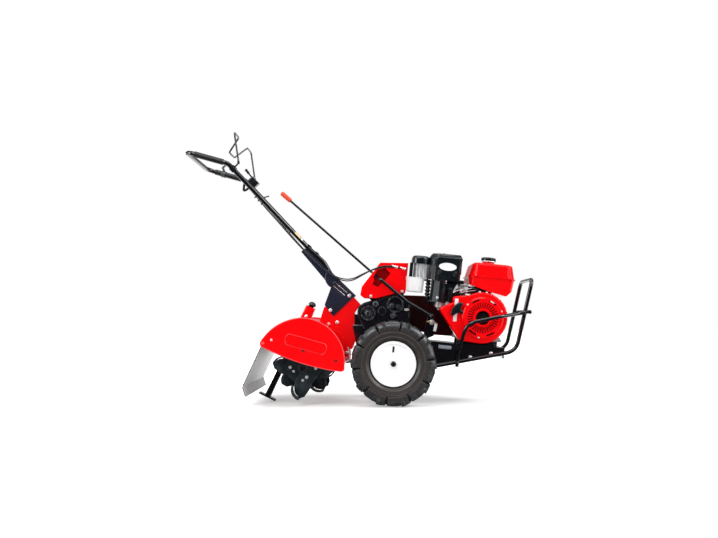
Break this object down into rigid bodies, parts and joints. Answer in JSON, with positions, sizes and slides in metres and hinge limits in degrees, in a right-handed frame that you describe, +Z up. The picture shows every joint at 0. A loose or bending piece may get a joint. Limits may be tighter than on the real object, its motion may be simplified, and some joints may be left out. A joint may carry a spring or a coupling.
{
  "type": "walk-behind rear-tine power tiller",
  "caption": "Walk-behind petrol tiller with driven front wheels, rear tines under a curved shield, a flap, a drag bar, an engine behind a tube guard and a loop handlebar.",
  "frame": {"origin": "on the ground, at the middle of the bounding box", "axes": "+X forward, +Y to the left of the operator, +Z up"},
  "size_m": [1.712, 0.574, 1.3265],
  "materials": {
    "tyre": "moulded rubber",
    "rim_white": "gloss paint",
    "shaft_steel": "turned steel",
    "case_black": "painted casting",
    "drive_red": "painted casting",
    "red_paint": "gloss paint",
    "navy_paint": "satin paint",
    "black_paint": "gloss paint",
    "tine_grey": "dipped paint",
    "flap_grey": "satin zinc",
    "engine_alloy": "as cast",
    "black_plastic": "moulded",
    "clear_plastic": "clear",
    "white_plastic": "moulded",
    "knob_orange": "moulded",
    "foam": "foam",
    "muffler_black": "heat paint",
    "rubber": "moulded"
  },
  "bodies": {
    "frame": {"transmission_case": "case_black", "tine_drive_case": "drive_red", "shield_sides": "red_paint", "shield_hood": "red_paint", "flap_rod": "shaft_steel", "drag_sleeve": "red_paint", "handle_bracket": "navy_paint", "shift_lever": "navy_paint", "shift_knob": "knob_orange", "shift_bracket": "black_paint", "gear_cover": "red_paint", "belt_cover": "red_paint", "belt_cover_back": "red_paint", "engine_bed": "black_paint", "engine_mounts": "rubber", "front_guard": "black_paint", "guard_cross_bar": "black_paint", "guard_side_bar": "black_paint", "crankcase": "engine_alloy", "cylinder": "engine_alloy", "head_cover": "engine_alloy", "blower_housing": "red_paint", "recoil_cover": "red_paint", "starter_grip": "black_plastic", "tank_lower": "red_paint", "tank_upper": "red_paint", "tank_cap": "black_plastic", "tank_stay": "engine_alloy", "air_cleaner": "black_plastic", "precleaner_body": "clear_plastic", "precleaner_cap": "black_plastic", "dust_cup": "white_plastic", "carburettor": "engine_alloy", "muffler": "muffler_black", "control_cables": "black_plastic"},
    "wheel_right": {"tyre_right": "tyre", "rim_right": "rim_white", "half_shaft_right": "shaft_steel"},
    "wheel_left": {"tyre_left": "tyre", "rim_left": "rim_white", "half_shaft_left": "shaft_steel"},
    "tine_rotor": {"tine_shaft": "shaft_steel", "tine_gang_right": "tine_grey", "tine_gang_left": "tine_grey"},
    "flap": {"rear_flap": "flap_grey"},
    "drag_bar": {"drag_bar": "black_paint"},
    "handle": {"handle_column": "navy_paint", "handlebar": "black_paint", "grips": "foam", "clutch_bail": "shaft_steel", "bail_brackets": "shaft_steel", "console": "black_paint", "throttle_lever": "black_plastic"}
  },
  "joints": [
    {"name": "wheel_right_spin", "type": "hinge", "parent": "frame", "child": "wheel_right", "pos_m": [0.16, -0.21, 0.206], "axis": [0, 1, 0], "continuous": true},
    {"name": "wheel_left_spin", "type": "hinge", "parent": "frame", "child": "wheel_left", "pos_m": [0.16, 0.21, 0.206], "axis": [0, 1, 0], "continuous": true},
    {"name": "tine_spin", "type": "hinge", "parent": "frame", "child": "tine_rotor", "pos_m": [-0.275, 0, 0.186], "axis": [0, 1, 0], "continuous": true},
    {"name": "flap_swing", "type": "hinge", "parent": "frame", "child": "flap", "pos_m": [-0.456, 0, 0.307], "axis": [0, 1, 0], "range_deg": [0, 70]},
    {"name": "drag_bar_slide", "type": "slide", "parent": "frame", "child": "drag_bar", "axis": [0.4384, 0, 0.8988], "range_m": [0, 0.1]},
    {"name": "handle_height", "type": "hinge", "parent": "frame", "child": "handle", "pos_m": [-0.134, 0, 0.6], "axis": [0, 1, 0], "range_deg": [-10, 6], "deforming": ["control_cables"]}
  ]
}
